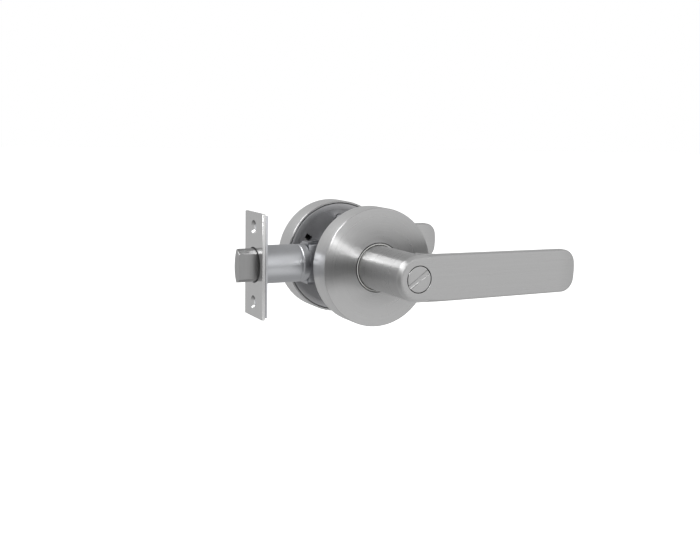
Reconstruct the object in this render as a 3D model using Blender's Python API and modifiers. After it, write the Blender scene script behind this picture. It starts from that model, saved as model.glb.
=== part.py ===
"""Privacy lever handle for a door, with its tubular latch, modelled piece by piece in metres.

The origin is on the spindle's axis, at the door's outside face. +X points along the levers to their
tips, +Y goes through the door to the inside, and +Z is up. The outside half lies at Y < 0, the door fills
Y = 0 to DOOR, and the inside half lies beyond it. Turning the levers down is positive about +Y.

Each half is modelled in its own local frame, whose Z is the height above the door's face.
"""
import math

import bmesh
import bpy
from mathutils import Matrix, Vector

# The door that the set fits
DOOR = 0.035
BACKSET = 0.060
MID = DOOR / 2

# Clearances between neighbours
GAP = 0.0003

# Rose cover: a drawn cup
ROSE_R = 0.0325
ROSE_H = 0.0138
ROSE_WALL = 0.0012
ROSE_EDGE = 0.0005
ROSE_HOLE_R = 0.0135

# Bearing bush: the lip that shows between the rose and the neck
BUSH_BORE_R = 0.0125
BUSH_LIP_R = 0.0131
BUSH_PROUD = 0.0001

# Lever: round neck and flat bar
NECK_R = 0.0121
LEVER_FACE = 0.0570
BAR_THICK = 0.0055
BAR_HALF_AT_NECK = 0.0122
BAR_HALF_AT_TIP = 0.0117
BAR_REACH = 0.0990
TIP_CORNER_R = 0.0080
TIP_CROWN = 0.0006
BAR_EDGE = 0.0009
SHANK_R = 0.0090
SHANK_FLAT = 0.0076
SHANK_END = -0.0052
NECK_FOOT = 0.0046
GROOVE = (-0.0041, -0.0029)
GROOVE_R = 0.0081
GRUB_HEIGHT = 0.0170

# Spindle, turn rod and privacy lock
SPINDLE_HALF = 0.0040
SOCKET_HALF = SPINDLE_HALF + GAP
SPINDLE_DEPTH = 0.0200
SOCKET_DEPTH = 0.0225
ROD_R = 0.0019
ROD_END = 0.0546
DISC_R = 0.0067
DISC_GAP = 0.0004
DISC_SEAT = 0.0531
SLOT_R = 0.0018
SLOT_DEPTH = 0.0007
SLOT_ANGLE = math.radians(36)
LOCK_HEIGHT = 0.0014
LOCK_PIN_R = 0.0010

# Chassis and what it carries
CHASSIS_R = 0.0309
CHASSIS_TOP = 0.0024
CHASSIS_RECESS = 0.0004
PAD_INNER_R = 0.0275
CHASSIS_BORE_R = SHANK_R + GAP
BOSS_INNER_R = 0.0150
BOSS_OUTER_R = 0.0170
BOSS_TOP = 0.0120
BOLT_CIRCLE_R = 0.0225
LEVER_SWEEP = math.radians(58)
PRONG_ANGLE = math.radians(210)
PEG_ANGLE = math.radians(40)

# Latch
FACEPLATE_THICK = 0.0018
FACEPLATE_HALF_W = 0.0127
FACEPLATE_HALF_H = 0.028575
SCREW_HOLE_Z = 0.0206
SCREW_HOLE_R = 0.0024
COUNTERSINK_R = 0.0038
CLEARANCE_HOLE_R = 0.0045
BOLT_R = 0.0091
BOLT_HALF_W = 0.0061
BOLT_HOLE_R = 0.0098
BOLT_NOSE = -0.0723
BOLT_TAIL = BOLT_NOSE + 0.0240
NOSE_CROWN_R = 0.0250
TUBE_R = 0.0105
TUBE_BORE_R = 0.0094
TUBE_END = -0.0300
HUB_R = 0.0076
FINGER_R = 0.0126
FINGER_W = 0.0040
FINGER_LEAN = math.radians(29)
CASE_IN = 0.0050
CASE_OUT = 0.0062
RIVET = (0.0115, 0.0065)

TURN_SIDES = 28
ROSE_SIDES = 40

for stale in list(bpy.data.objects):
    bpy.data.objects.remove(stale, do_unlink=True)


def new_collection(name):
    made = bpy.data.collections.new(name)
    bpy.context.scene.collection.children.link(made)
    return made


PARTS = new_collection("door_lever_handle")
CUTTERS = new_collection("cutters")


def new_material(name, colour, roughness, metallic=1.0):
    made = bpy.data.materials.new(name)
    made.use_nodes = True
    shader = made.node_tree.nodes["Principled BSDF"]
    shader.inputs["Base Color"].default_value = (*colour, 1.0)
    shader.inputs["Roughness"].default_value = roughness
    shader.inputs["Metallic"].default_value = metallic
    made.diffuse_color = (*colour, 1.0)
    return made


SATIN = new_material("satin_stainless", (0.62, 0.61, 0.59), 0.32)
ZINC = new_material("zinc_plated_steel", (0.58, 0.59, 0.60), 0.38)
SPRING = new_material("spring_steel", (0.35, 0.35, 0.36), 0.35)
ACETAL = new_material("acetal", (0.85, 0.84, 0.80), 0.50, 0.0)
CASTING = new_material("zinc_casting", (0.50, 0.50, 0.51), 0.50)


def new_axis(name, location, turn):
    """An empty that carries a local frame."""
    made = bpy.data.objects.new(name, None)
    PARTS.objects.link(made)
    made.location = location
    made.rotation_euler = turn
    return made


OUTSIDE = new_axis("outside_axis", (0, 0, 0), (math.radians(90), 0, 0))
INSIDE = new_axis("inside_axis", (0, DOOR, 0), (math.radians(-90), 0, 0))
LATCH_LINE = new_axis("latch_line", (0, MID, 0), (0, math.radians(90), 0))
LATCH = new_axis("latch_centre", (0, MID, 0), (0, 0, 0))


def add(name, mesh, axis, finish=None):
    """A part if it has a finish, or else a cutter that the build leaves out."""
    made = bpy.data.objects.new(name, mesh)
    made.parent = axis
    if finish is None:
        CUTTERS.objects.link(made)
        made.hide_render = True
        made.display_type = "WIRE"
    else:
        PARTS.objects.link(made)
        mesh.materials.append(finish)
    return made


def turned(name, profile, axis, finish=None, sides=TURN_SIDES, ring=False, centre=(0, 0)):
    """Turn (radius, height) points round local Z. The profile runs down its outer side."""
    mesh = bpy.data.meshes.new(name)
    edges = [(i, i + 1) for i in range(len(profile) - 1)]
    if ring:
        edges.append((len(profile) - 1, 0))
    mesh.from_pydata([(radius, 0, height) for radius, height in profile], edges, [])
    made = add(name, mesh, axis, finish)
    made.location = (*centre, 0)
    screw = made.modifiers.new("turn", "SCREW")
    screw.steps = sides
    screw.render_steps = sides
    screw.use_merge_vertices = True
    screw.merge_threshold = 1e-6
    return made


def block(name, low, high, axis, finish=None, turn=0.0):
    """A box between two corners, turned round local Z."""
    low, high = Vector(low), Vector(high)
    shape = bmesh.new()
    bmesh.ops.create_cube(shape, size=1.0)
    bmesh.ops.scale(shape, vec=high - low, verts=shape.verts)
    bmesh.ops.translate(shape, vec=(high + low) / 2, verts=shape.verts)
    mesh = bpy.data.meshes.new(name)
    shape.to_mesh(mesh)
    shape.free()
    made = add(name, mesh, axis, finish)
    made.rotation_euler.z = turn
    return made


def peg(name, radius, start, end, axis, finish=None, sides=24):
    """A round bar between two points."""
    start, end = Vector(start), Vector(end)
    along = end - start
    place = Matrix.Translation((start + end) / 2) @ along.to_track_quat("Z", "Y").to_matrix().to_4x4()
    shape = bmesh.new()
    bmesh.ops.create_cone(shape, cap_ends=True, segments=sides, radius1=radius, radius2=radius,
                          depth=along.length, matrix=place)
    mesh = bpy.data.meshes.new(name)
    shape.to_mesh(mesh)
    shape.free()
    return add(name, mesh, axis, finish)


def extruded(name, outline, low, high, axis, finish=None):
    """A flat outline as a 2D curve, given thickness and made a welded mesh."""
    curve = bpy.data.curves.new(name, "CURVE")
    curve.dimensions = "2D"
    curve.fill_mode = "BOTH"
    curve.extrude = (high - low) / 2
    spline = curve.splines.new("POLY")
    spline.points.add(len(outline) - 1)
    for point, (x, y) in zip(spline.points, outline):
        point.co = (x, y, 0, 1)
    spline.use_cyclic_u = True
    guide = bpy.data.objects.new(name, curve)
    CUTTERS.objects.link(guide)
    mesh = bpy.data.meshes.new_from_object(guide.evaluated_get(bpy.context.evaluated_depsgraph_get()))
    bpy.data.objects.remove(guide, do_unlink=True)
    shape = bmesh.new()
    shape.from_mesh(mesh)
    bmesh.ops.remove_doubles(shape, verts=shape.verts, dist=1e-6)
    bmesh.ops.translate(shape, vec=(0, 0, (low + high) / 2), verts=shape.verts)
    bmesh.ops.recalc_face_normals(shape, faces=shape.faces)
    bmesh.ops.dissolve_limit(shape, angle_limit=math.radians(1), verts=shape.verts, edges=shape.edges)
    shape.to_mesh(mesh)
    shape.free()
    return add(name, mesh, axis, finish)


def wire(name, points, radius, axis, finish):
    """A round wire along a list of points, with closed ends."""
    curve = bpy.data.curves.new(name, "CURVE")
    curve.dimensions = "3D"
    curve.bevel_depth = radius
    curve.bevel_resolution = 2
    curve.use_fill_caps = True
    spline = curve.splines.new("POLY")
    spline.points.add(len(points) - 1)
    for point, place in zip(spline.points, points):
        point.co = (*place, 1)
    curve.materials.append(finish)
    made = bpy.data.objects.new(name, curve)
    PARTS.objects.link(made)
    made.parent = axis
    return made


def combine(part, tool, how):
    step = part.modifiers.new(tool.name, "BOOLEAN")
    step.operation = how
    step.solver = "EXACT"
    step.object = tool


def cut(part, tool):
    combine(part, tool, "DIFFERENCE")


def join(part, tool):
    combine(part, tool, "UNION")


def arc(centre, radius, start, end, steps):
    """Points round an arc, both ends included."""
    angles = [start + (end - start) * i / steps for i in range(steps + 1)]
    return [(centre[0] + radius * math.cos(a), centre[1] + radius * math.sin(a)) for a in angles]


def sector(inner, outer, start, end, steps=10):
    """The outline of part of a flat ring."""
    return arc((0, 0), outer, start, end, steps) + arc((0, 0), inner, end, start, steps)


def polar(radius, angle, height):
    return Vector((radius * math.cos(angle), radius * math.sin(angle), height))


def cross_recess(part, axis, low, high, centre=(0, 0)):
    """A cross for a screwdriver, cut between two heights about a local centre."""
    for letter, half_x, half_y in (("a", 0.0023, 0.00045), ("b", 0.00045, 0.0023)):
        tool = block(f"{part.name}_recess_{letter}", (centre[0] - half_x, centre[1] - half_y, low),
                     (centre[0] + half_x, centre[1] + half_y, high), axis)
        cut(part, tool)


# One half of the set. `side` names it, and `sense` is +1 outside and -1 inside, where local Y points
# down, so that both halves turn the same way about the door.

def rose_cover(side, axis):
    top = ROSE_H
    corner = arc((ROSE_R - ROSE_EDGE, top - ROSE_EDGE), ROSE_EDGE, math.radians(90), 0, 3)
    profile = [(ROSE_HOLE_R, top)] + corner
    profile += [(ROSE_R, 0), (ROSE_R - ROSE_WALL, 0), (ROSE_R - ROSE_WALL, top - ROSE_WALL)]
    profile += [(ROSE_HOLE_R, top - ROSE_WALL)]
    turned(f"{side}_rose_cover", profile, axis, SATIN, ROSE_SIDES, ring=True)


def chassis(side, axis, sense):
    profile = [(BOSS_INNER_R, BOSS_TOP), (BOSS_OUTER_R, BOSS_TOP), (BOSS_OUTER_R, CHASSIS_TOP)]
    profile += [(CHASSIS_R, CHASSIS_TOP), (CHASSIS_R, 0), (PAD_INNER_R, 0), (PAD_INNER_R, CHASSIS_RECESS)]
    profile += [(CHASSIS_BORE_R, CHASSIS_RECESS), (CHASSIS_BORE_R, CHASSIS_TOP), (BOSS_INNER_R, CHASSIS_TOP)]
    body = turned(f"{side}_chassis", profile, axis, CASTING, ring=True)
    margin = math.radians(7)
    first = sense * (PRONG_ANGLE + margin)
    last = sense * (PRONG_ANGLE - LEVER_SWEEP - margin)
    cut(body, extruded(f"{side}_prong_slot", sector(0.0206, 0.0246, first, last), -0.001, 0.004, axis))
    join(body, peg(f"{side}_spring_peg", 0.0013, polar(0.0228, sense * PEG_ANGLE, 0.0012),
                   polar(0.0228, sense * PEG_ANGLE, 0.0070), axis, sides=16))
    return body


def neck_bush(side, axis):
    """Acetal bearing sleeve, with a thrust floor under the neck's shoulder."""
    sleeve = BOSS_INNER_R - GAP
    top = ROSE_H + BUSH_PROUD
    under_cover = ROSE_H - ROSE_WALL - GAP
    floor = CHASSIS_TOP + GAP
    profile = [(BUSH_BORE_R, top), (BUSH_LIP_R, top), (BUSH_LIP_R, under_cover), (sleeve, under_cover)]
    profile += [(sleeve, floor), (SHANK_R + 0.0004, floor), (SHANK_R + 0.0004, NECK_FOOT - 0.0004)]
    profile += [(BUSH_BORE_R, NECK_FOOT - 0.0004)]
    turned(f"{side}_neck_bush", profile, axis, ACETAL, ring=True)


def bar_outline():
    """The lever's face: round at the neck, tapering a little to a crowned end with round corners."""
    left = arc((0, 0), BAR_HALF_AT_NECK, math.radians(90), math.radians(270), 16)
    corner_x = BAR_REACH - TIP_CROWN - TIP_CORNER_R
    corner_y = BAR_HALF_AT_TIP - TIP_CORNER_R
    low = arc((corner_x, -corner_y), TIP_CORNER_R, math.radians(-90), math.radians(-4), 7)
    high = arc((corner_x, corner_y), TIP_CORNER_R, math.radians(4), math.radians(90), 7)
    return left + low + [(BAR_REACH, 0)] + high


def lever(side, axis, sense):
    """Bar and neck in one casting, with a shank behind that the chassis holds."""
    part = extruded(f"{side}_lever", bar_outline(), LEVER_FACE - BAR_THICK, LEVER_FACE, axis, SATIN)
    edge = part.modifiers.new("edge", "BEVEL")
    edge.width = BAR_EDGE
    edge.segments = 2
    edge.limit_method = "ANGLE"
    edge.angle_limit = math.radians(40)
    profile = [(0, LEVER_FACE - BAR_THICK / 2), (NECK_R, LEVER_FACE - BAR_THICK / 2), (NECK_R, NECK_FOOT)]
    profile += [(SHANK_R, NECK_FOOT), (SHANK_R, GROOVE[1]), (GROOVE_R, GROOVE[1]), (GROOVE_R, GROOVE[0])]
    profile += [(SHANK_R, GROOVE[0]), (SHANK_R, SHANK_END), (0, SHANK_END)]
    join(part, turned(f"{side}_neck", profile, axis))
    for name, low, high in (("left", -0.012, -SHANK_FLAT), ("right", SHANK_FLAT, 0.012)):
        cut(part, block(f"{side}_shank_flat_{name}", (low, -0.012, -0.008), (high, 0.012, 0), axis))
    cut(part, block(f"{side}_socket", (-SOCKET_HALF, -SOCKET_HALF, -0.008),
                    (SOCKET_HALF, SOCKET_HALF, SOCKET_DEPTH), axis))
    seat = [(0, 0.058), (DISC_R + DISC_GAP, 0.058), (DISC_R + DISC_GAP, DISC_SEAT), (0.0025, DISC_SEAT)]
    seat += [(0.0025, SOCKET_DEPTH - 0.001), (0, SOCKET_DEPTH - 0.001)]
    cut(part, turned(f"{side}_disc_seat", seat, axis))
    cut(part, peg(f"{side}_grub_hole", 0.0027, (0, -0.0030 * sense, GRUB_HEIGHT),
                  (0, -0.0140 * sense, GRUB_HEIGHT), axis, sides=16))
    return part


def grub_screw(side, axis, sense):
    """Socket screw under the neck that bears on the spindle."""
    part = peg(f"{side}_grub_screw", 0.0024, (0, -(SPINDLE_HALF + GAP) * sense, GRUB_HEIGHT),
               (0, -0.0118 * sense, GRUB_HEIGHT), axis, ZINC, sides=16)
    cut(part, peg(f"{side}_grub_socket", 0.0013, (0, -0.0093 * sense, GRUB_HEIGHT),
                  (0, -0.0130 * sense, GRUB_HEIGHT), axis, sides=6))


def spring_driver(side, axis, sense):
    """A plate keyed on the shank's flats, whose prong reaches through the chassis to the spring."""
    under = -GAP
    back = under - 0.0024
    part = turned(f"{side}_spring_driver", [(0, under), (0.0155, under), (0.0155, back), (0, back)], axis, ZINC)
    angle = sense * PRONG_ANGLE
    join(part, block(f"{side}_driver_arm", (0.0100, -0.0030, back + 0.0002), (0.0242, 0.0030, under - 0.0002),
                     axis, turn=angle))
    join(part, block(f"{side}_driver_prong", (0.0212, -0.0015, back + 0.0006), (0.0239, 0.0015, 0.0110),
                     axis, turn=angle))
    keyhole = turned(f"{side}_keyhole", [(0, 0.002), (SHANK_R + GAP, 0.002), (SHANK_R + GAP, -0.006), (0, -0.006)],
                     axis)
    for name, low, high in (("left", -0.012, -SHANK_FLAT - GAP), ("right", SHANK_FLAT + GAP, 0.012)):
        cut(keyhole, block(f"{side}_keyhole_flat_{name}", (low, -0.012, -0.008), (high, 0.012, 0.004), axis))
    cut(part, keyhole)


def retaining_ring(side, axis):
    """Open snap ring in the shank's groove."""
    high = GROOVE[1] - 0.0002
    low = GROOVE[0] + 0.0002
    profile = [(GROOVE_R + GAP, high), (0.0110, high), (0.0110, low), (GROOVE_R + GAP, low)]
    part = turned(f"{side}_retaining_ring", profile, axis, SPRING, ring=True)
    cut(part, block(f"{side}_ring_gap", (-0.0020, 0.004, -0.006), (0.0020, 0.014, 0), axis))


def return_spring(side, axis, sense):
    """Torsion coil round the boss. Its lower leg bears on the peg and its upper one on the prong."""
    coil_r, leg_r, wire_r = 0.0184, 0.0246, 0.0006
    bottom, pitch, turns = 0.0036, 0.0018, 3
    start = PEG_ANGLE + math.radians(6)
    end = PRONG_ANGLE - math.radians(7) - 2 * math.pi * turns
    steps = 12 * turns
    points = [polar(leg_r, sense * start, bottom)]
    for i in range(steps + 1):
        share = i / steps
        points.append(polar(coil_r, sense * (start + (end - start) * share), bottom + pitch * turns * share))
    points.append(polar(leg_r, sense * end, bottom + pitch * turns))
    wire(f"{side}_return_spring", points, wire_r, axis, SPRING)


def half_set(side, axis, sense):
    rose_cover(side, axis)
    neck_bush(side, axis)
    grub_screw(side, axis, sense)
    spring_driver(side, axis, sense)
    retaining_ring(side, axis)
    return_spring(side, axis, sense)
    return lever(side, axis, sense), chassis(side, axis, sense)


# What joins the two halves

def threaded_post(name, y, plate):
    """Threaded sleeve riveted flush into the outside chassis."""
    top = CHASSIS_TOP - 0.0001
    profile = [(0, top), (0.0050, top), (0.0050, 0.0015), (0.0039, 0.0015), (0.0039, -0.0260)]
    profile += [(0.0024, -0.0260), (0.0024, -0.0110), (0, -0.0110)]
    turned(name, profile, OUTSIDE, ZINC, sides=18, centre=(0, y))
    seat = [(0, 0.003), (0.0053, 0.003), (0.0053, 0.0012), (0.0042, 0.0012), (0.0042, -0.001), (0, -0.001)]
    cut(plate, turned(f"{name}_seat", seat, OUTSIDE, sides=18, centre=(0, y)))


def through_bolt(name, y, plate):
    """Countersunk machine screw from the inside chassis into an outside post."""
    profile = [(0, 0.0023), (0.0042, 0.0023), (0.0042, 0.0021), (0.0021, 0.0006), (0.0021, -0.0215)]
    profile += [(0.0016, -0.0223), (0, -0.0223)]
    part = turned(name, profile, INSIDE, ZINC, sides=18, centre=(0, y))
    cross_recess(part, INSIDE, 0.0009, 0.0030, (0, y))
    seat = [(0, 0.003), (0.0046, 0.003), (0.0046, 0.0021), (0.0025, 0.0004), (0.0025, -0.001), (0, -0.001)]
    cut(plate, turned(f"{name}_seat", seat, INSIDE, sides=18, centre=(0, y)))


def spindle():
    """Hollow square bar that turns the hub, with a cross hole for the lock pin."""
    part = block("spindle", (-SPINDLE_HALF, -SPINDLE_HALF, -DOOR - SPINDLE_DEPTH),
                 (SPINDLE_HALF, SPINDLE_HALF, SPINDLE_DEPTH), OUTSIDE, ZINC)
    cut(part, peg("spindle_bore", ROD_R + 0.0004, (0, 0, -0.07), (0, 0, 0.03), OUTSIDE, sides=20))
    cut(part, peg("spindle_pin_hole", LOCK_PIN_R + GAP, (0, 0.0005, -DOOR - LOCK_HEIGHT),
                  (0, 0.0060, -DOOR - LOCK_HEIGHT), OUTSIDE, sides=12))


def lock_pin(inside_lever, inside_chassis):
    """Pin that the turn rod pushes out of the shank, into a pocket in the inside chassis."""
    peg("lock_pin", LOCK_PIN_R, (0, -0.00145, LOCK_HEIGHT), (0, -0.00865, LOCK_HEIGHT), INSIDE, ZINC, sides=12)
    cut(inside_lever, peg("shank_pin_hole", LOCK_PIN_R + GAP, (0, -0.0030, LOCK_HEIGHT),
                          (0, -0.0110, LOCK_HEIGHT), INSIDE, sides=12))
    margin = math.radians(14)
    pocket = sector(0.0085, 0.0109, math.radians(-90) - margin, math.radians(-90) + LEVER_SWEEP + margin)
    cut(inside_chassis, extruded("lock_pocket", pocket, -0.001, 0.004, INSIDE))


def turn_rod():
    """Rod from the turn button to the release disc. A flat on it lets the lock pin drop."""
    part = peg("turn_rod", ROD_R, (0, 0, -DOOR - ROD_END), (0, 0, ROD_END), OUTSIDE, ZINC, sides=20)
    cut(part, block("rod_flat", (-0.003, 0.0010, -DOOR - LOCK_HEIGHT - 0.0018),
                    (0.003, 0.0040, -DOOR - LOCK_HEIGHT + 0.0018), OUTSIDE))


def button_profile():
    """A disc with a blind hole for the rod in its back."""
    face = LEVER_FACE - 0.00005
    profile = [(0, face), (DISC_R - 0.0002, face), (DISC_R, face - 0.0002), (DISC_R, DISC_SEAT + GAP)]
    return profile + [(ROD_R + GAP, DISC_SEAT + GAP), (ROD_R + GAP, ROD_END + GAP), (0, ROD_END + GAP)]


def release_disc():
    """Flush disc with a hollow-ground coin slot across it."""
    part = turned("release_disc", button_profile(), OUTSIDE, SATIN)
    above = LEVER_FACE - SLOT_DEPTH + SLOT_R
    cut(part, peg("coin_slot", SLOT_R, polar(-0.009, SLOT_ANGLE, above), polar(0.009, SLOT_ANGLE, above), OUTSIDE))


def turn_button():
    part = turned("turn_button", button_profile(), INSIDE, SATIN)
    grip = block("turn_grip", (-0.0060, -0.0019, LEVER_FACE - 0.0010), (0.0060, 0.0019, LEVER_FACE + 0.0090), INSIDE)
    edge = grip.modifiers.new("edge", "BEVEL")
    edge.width = 0.0008
    edge.segments = 2
    join(part, grip)


# Latch, along X. `LATCH_LINE` has its Z along +X and its X pointing down.

def latch_plates():
    """Faceplate with two countersunk screw holes, and the backing plate behind it with clearance holes."""
    front = -BACKSET
    back = front + FACEPLATE_THICK
    face = block("latch_faceplate", (front, -FACEPLATE_HALF_W, -FACEPLATE_HALF_H),
                 (back, FACEPLATE_HALF_W, FACEPLATE_HALF_H), LATCH, SATIN)
    cut(face, peg("bolt_hole", BOLT_HOLE_R, (front - 0.002, 0, 0), (back + 0.002, 0, 0), LATCH, sides=32))
    plate = block("latch_backplate", (back + GAP, -0.0122, -0.0275), (back + GAP + 0.0012, 0.0122, 0.0275),
                  LATCH, ZINC)
    cut(plate, peg("tube_hole", TUBE_R + GAP, (back - 0.001, 0, 0), (back + 0.004, 0, 0), LATCH, sides=32))
    cone = front + COUNTERSINK_R - SCREW_HOLE_R
    for name, x in (("upper", -SCREW_HOLE_Z), ("lower", SCREW_HOLE_Z)):
        sink = [(0, back + 0.001), (SCREW_HOLE_R, back + 0.001), (SCREW_HOLE_R, cone)]
        sink += [(COUNTERSINK_R + 0.001, front - 0.001), (0, front - 0.001)]
        cut(face, turned(f"{name}_countersink", sink, LATCH_LINE, sides=24, centre=(x, 0)))
        cut(plate, peg(f"{name}_clearance", CLEARANCE_HOLE_R, (back - 0.001, 0, -x), (back + 0.004, 0, -x), LATCH))


def latch_tube():
    wall = TUBE_END - 0.0015
    profile = [(0.0026, TUBE_END), (TUBE_R, TUBE_END), (TUBE_R, -BACKSET + FACEPLATE_THICK + GAP)]
    profile += [(TUBE_BORE_R, -BACKSET + FACEPLATE_THICK + GAP), (TUBE_BORE_R, wall), (0.0026, wall)]
    turned("latch_tube", profile, LATCH_LINE, ZINC, ring=True)


def latch_bolt():
    """Round bar with two flats, a crowned end, a bevel facing the inside, and a hole for the drawbar's rod."""
    widest = math.asin(BOLT_R / NOSE_CROWN_R)
    crown = [(NOSE_CROWN_R * math.sin(a), BOLT_NOSE + NOSE_CROWN_R * (1 - math.cos(a)))
             for a in (widest, widest * 0.67, widest * 0.33, 0)]
    part = turned("latch_bolt", [(0, BOLT_TAIL), (BOLT_R, BOLT_TAIL)] + crown, LATCH_LINE, CASTING)
    for name, low, high in (("front", -0.012, -BOLT_HALF_W), ("rear", BOLT_HALF_W, 0.012)):
        cut(part, block(f"bolt_flat_{name}", (BOLT_NOSE - 0.002, low, -0.012), (BOLT_TAIL + 0.002, high, 0.012), LATCH))
    bevel_start = -0.0030
    bevel = block("bolt_bevel", (-0.014, 0, -0.012), (0.014, 0.012, 0.012), LATCH, turn=math.radians(45))
    bevel.location = (BOLT_NOSE, bevel_start, 0)
    cut(part, bevel)
    corner = block("bolt_corner", (-0.010, -0.012, -0.012), (0.010, 0, 0.012), LATCH, turn=math.radians(-50))
    corner.location = (BOLT_NOSE + 0.0013, -BOLT_HALF_W, 0)
    cut(part, corner)
    cut(part, peg("bolt_rod_hole", 0.0023, (BOLT_TAIL + 0.001, 0, 0), (BOLT_TAIL - 0.0060, 0, 0), LATCH, sides=16))


def latch_drawbar():
    """Rod, crosshead and two forked arms. A lug across each arm's end is what a hub finger pushes."""
    head_left = TUBE_END + 0.0004
    head_right = head_left + 0.0036
    lug_left = -0.0057
    lug_right = -0.0030
    part = block("latch_drawbar", (head_left, -0.0042, -0.0116), (head_right, 0.0042, 0.0116), LATCH, ZINC)
    join(part, peg("drawbar_rod", 0.0020, (BOLT_TAIL - 0.0057, 0, 0), (head_left + 0.0020, 0, 0), LATCH, sides=16))
    for name, up in (("upper", 1), ("lower", -1)):
        inner, outer, tip = 0.0093 * up, 0.0115 * up, 0.0124 * up
        arm = block(f"drawbar_arm_{name}", (head_right - 0.001, -0.0041, min(inner, outer)),
                    (lug_right - 0.0001, 0.0041, max(inner, outer)), LATCH)
        cut(arm, block(f"drawbar_fork_{name}", (head_right, -0.0024, -0.014), (0.01, 0.0024, 0.014), LATCH))
        join(part, arm)
        low, high = sorted((0.0109 * up, tip))
        join(part, block(f"drawbar_lug_{name}", (lug_left, -0.0040, low), (lug_right, 0.0040, high), LATCH))


def latch_hub():
    """Square-holed cam. Its fingers lean back by half the sweep, so they end leaning as far forward."""
    half = CASE_OUT + GAP
    part = turned("latch_hub", [(0, -MID + half), (HUB_R, -MID + half), (HUB_R, -MID - half), (0, -MID - half)],
                  OUTSIDE, ZINC)
    for name, up in (("upper", 1), ("lower", -1)):
        side_low, side_high = sorted((0.0, FINGER_W * up))
        join(part, block(f"hub_finger_{name}", (0.0050, side_low, -MID - 0.0021),
                         (FINGER_R, side_high, -MID + 0.0021), OUTSIDE, turn=up * (math.pi / 2 + FINGER_LEAN)))
    cut(part, block("hub_square", (-SOCKET_HALF, -SOCKET_HALF, -MID - 0.01), (SOCKET_HALF, SOCKET_HALF, -MID + 0.01),
                    OUTSIDE))


def latch_case():
    """Two side plates that carry the hub, held apart by rivets."""
    half_h, left, right, corner = 0.0104, TUBE_END + 0.0003, 0.0145, 0.0050
    outline = [(left, half_h), (left, -half_h)]
    outline += arc((right - corner, corner - half_h), corner, math.radians(-90), 0, 5)
    outline += arc((right - corner, half_h - corner), corner, 0, math.radians(90), 5)
    for name, low, high in (("outside", CASE_IN, CASE_OUT), ("inside", -CASE_OUT, -CASE_IN)):
        plate = extruded(f"latch_case_{name}", outline, -MID + low, -MID + high, OUTSIDE, ZINC)
        cut(plate, peg(f"hub_hole_{name}", HUB_R + GAP, (0, 0, -MID + low - 0.002), (0, 0, -MID + high + 0.002),
                       OUTSIDE, sides=32))
        for place, y in (("upper", RIVET[1]), ("lower", -RIVET[1])):
            cut(plate, peg(f"rivet_hole_{name}_{place}", 0.0017, (RIVET[0], y, -MID + low - 0.002),
                           (RIVET[0], y, -MID + high + 0.002), OUTSIDE, sides=16))
    for place, y in (("upper", RIVET[1]), ("lower", -RIVET[1])):
        inner, outer, head = CASE_IN - GAP, CASE_OUT + GAP, CASE_OUT + GAP + 0.0006
        profile = [(0, head), (0.0026, head), (0.0026, outer), (0.0014, outer), (0.0014, inner), (0.0024, inner)]
        profile += [(radius, -height) for radius, height in reversed(profile)]
        turned(f"latch_case_rivet_{place}", [(radius, height - MID) for radius, height in profile], OUTSIDE, ZINC,
               sides=12, centre=(RIVET[0], y))


def latch_spring():
    """Compression coil round the drawbar's rod, between the bolt and the tube's end wall."""
    low, high = BOLT_TAIL + 0.0005, TUBE_END - 0.0015 - 0.0005
    coil_r, wire_r, turns, per_turn = 0.0054, 0.00035, 4, 10
    steps = turns * per_turn
    points = []
    for i in range(steps + 1):
        angle = 2 * math.pi * i / per_turn
        along = low + (high - low) * i / steps
        points.append((along, coil_r * math.cos(angle), coil_r * math.sin(angle)))
    wire("latch_spring", points, wire_r, LATCH, SPRING)


outside_lever, outside_chassis = half_set("outside", OUTSIDE, 1)
inside_lever, inside_chassis = half_set("inside", INSIDE, -1)
for place, up in (("upper", 1), ("lower", -1)):
    threaded_post(f"outside_post_{place}", BOLT_CIRCLE_R * up, outside_chassis)
    through_bolt(f"through_bolt_{place}", -BOLT_CIRCLE_R * up, inside_chassis)
spindle()
turn_rod()
release_disc()
turn_button()
lock_pin(inside_lever, inside_chassis)
latch_plates()
latch_tube()
latch_bolt()
latch_drawbar()
latch_hub()
latch_case()
latch_spring()
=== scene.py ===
"""The looks of the privacy lever handle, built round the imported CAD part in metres.

The frame is the CAD's: the origin is on the spindle's axis at the door's outside face, +X points
along the levers, +Y goes through the door and +Z is up. Each half of the set, and the latch, is drawn
in a local space of its own (x, y, height) and carried into the frame by one of the matrices below.
"""
import math
from functools import partialmethod

import bmesh
import bpy
import numpy as np
from mathutils import Matrix, Vector


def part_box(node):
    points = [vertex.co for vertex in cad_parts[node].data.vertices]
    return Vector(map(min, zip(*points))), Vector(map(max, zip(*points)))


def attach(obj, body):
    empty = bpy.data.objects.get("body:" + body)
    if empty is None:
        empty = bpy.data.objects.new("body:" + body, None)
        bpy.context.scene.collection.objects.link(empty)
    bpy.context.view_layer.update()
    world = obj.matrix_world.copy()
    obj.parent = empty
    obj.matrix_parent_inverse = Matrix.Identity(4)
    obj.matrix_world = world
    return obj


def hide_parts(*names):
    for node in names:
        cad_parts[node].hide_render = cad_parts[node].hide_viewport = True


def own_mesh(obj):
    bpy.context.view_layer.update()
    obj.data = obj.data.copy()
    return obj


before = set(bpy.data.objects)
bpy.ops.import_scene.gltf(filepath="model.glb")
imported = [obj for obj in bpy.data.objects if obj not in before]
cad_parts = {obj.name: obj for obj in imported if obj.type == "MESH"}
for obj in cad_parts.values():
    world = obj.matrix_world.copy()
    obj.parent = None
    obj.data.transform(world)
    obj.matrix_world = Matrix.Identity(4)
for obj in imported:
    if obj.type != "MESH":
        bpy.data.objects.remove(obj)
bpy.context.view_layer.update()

# Where the CAD puts things
ROSE_LOW, ROSE_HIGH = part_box("outside_rose_cover")
LEVER_LOW, LEVER_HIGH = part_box("outside_lever")
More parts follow.
